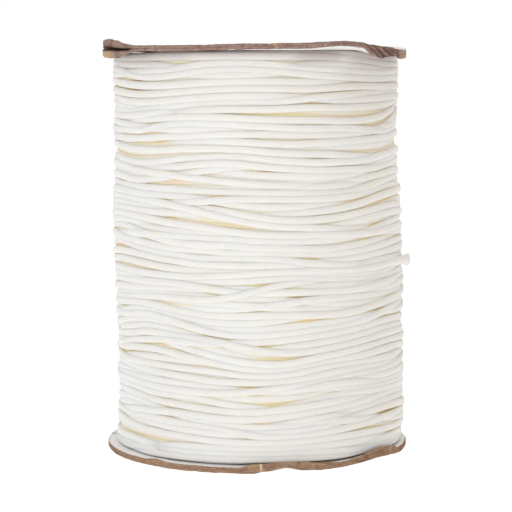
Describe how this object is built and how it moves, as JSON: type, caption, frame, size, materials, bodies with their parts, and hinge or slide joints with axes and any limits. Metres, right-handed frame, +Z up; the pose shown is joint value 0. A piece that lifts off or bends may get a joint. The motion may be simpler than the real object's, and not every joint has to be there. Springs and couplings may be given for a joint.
{
  "type": "roll of knotting cord",
  "caption": "Upright roll of white satin knotting cord wound between thin cardboard discs, its last turn sprung loose at one side.",
  "frame": {"origin": "middle of the bottom disc's underside, where the roll stands on a surface", "axes": "+Z up along the roll's axis, -Y the front, +X the side where the loose end springs off"},
  "size_m": [0.0738, 0.0728, 0.0981],
  "materials": {
    "cord": "white satin sheen",
    "board": "raw kraft-brown cut edge, white paper-lined faces"
  },
  "bodies": {
    "root": {"winding": "cord", "loose_end": "cord", "top_disc": "board", "bottom_disc": "board"}
  },
  "joints": []
}
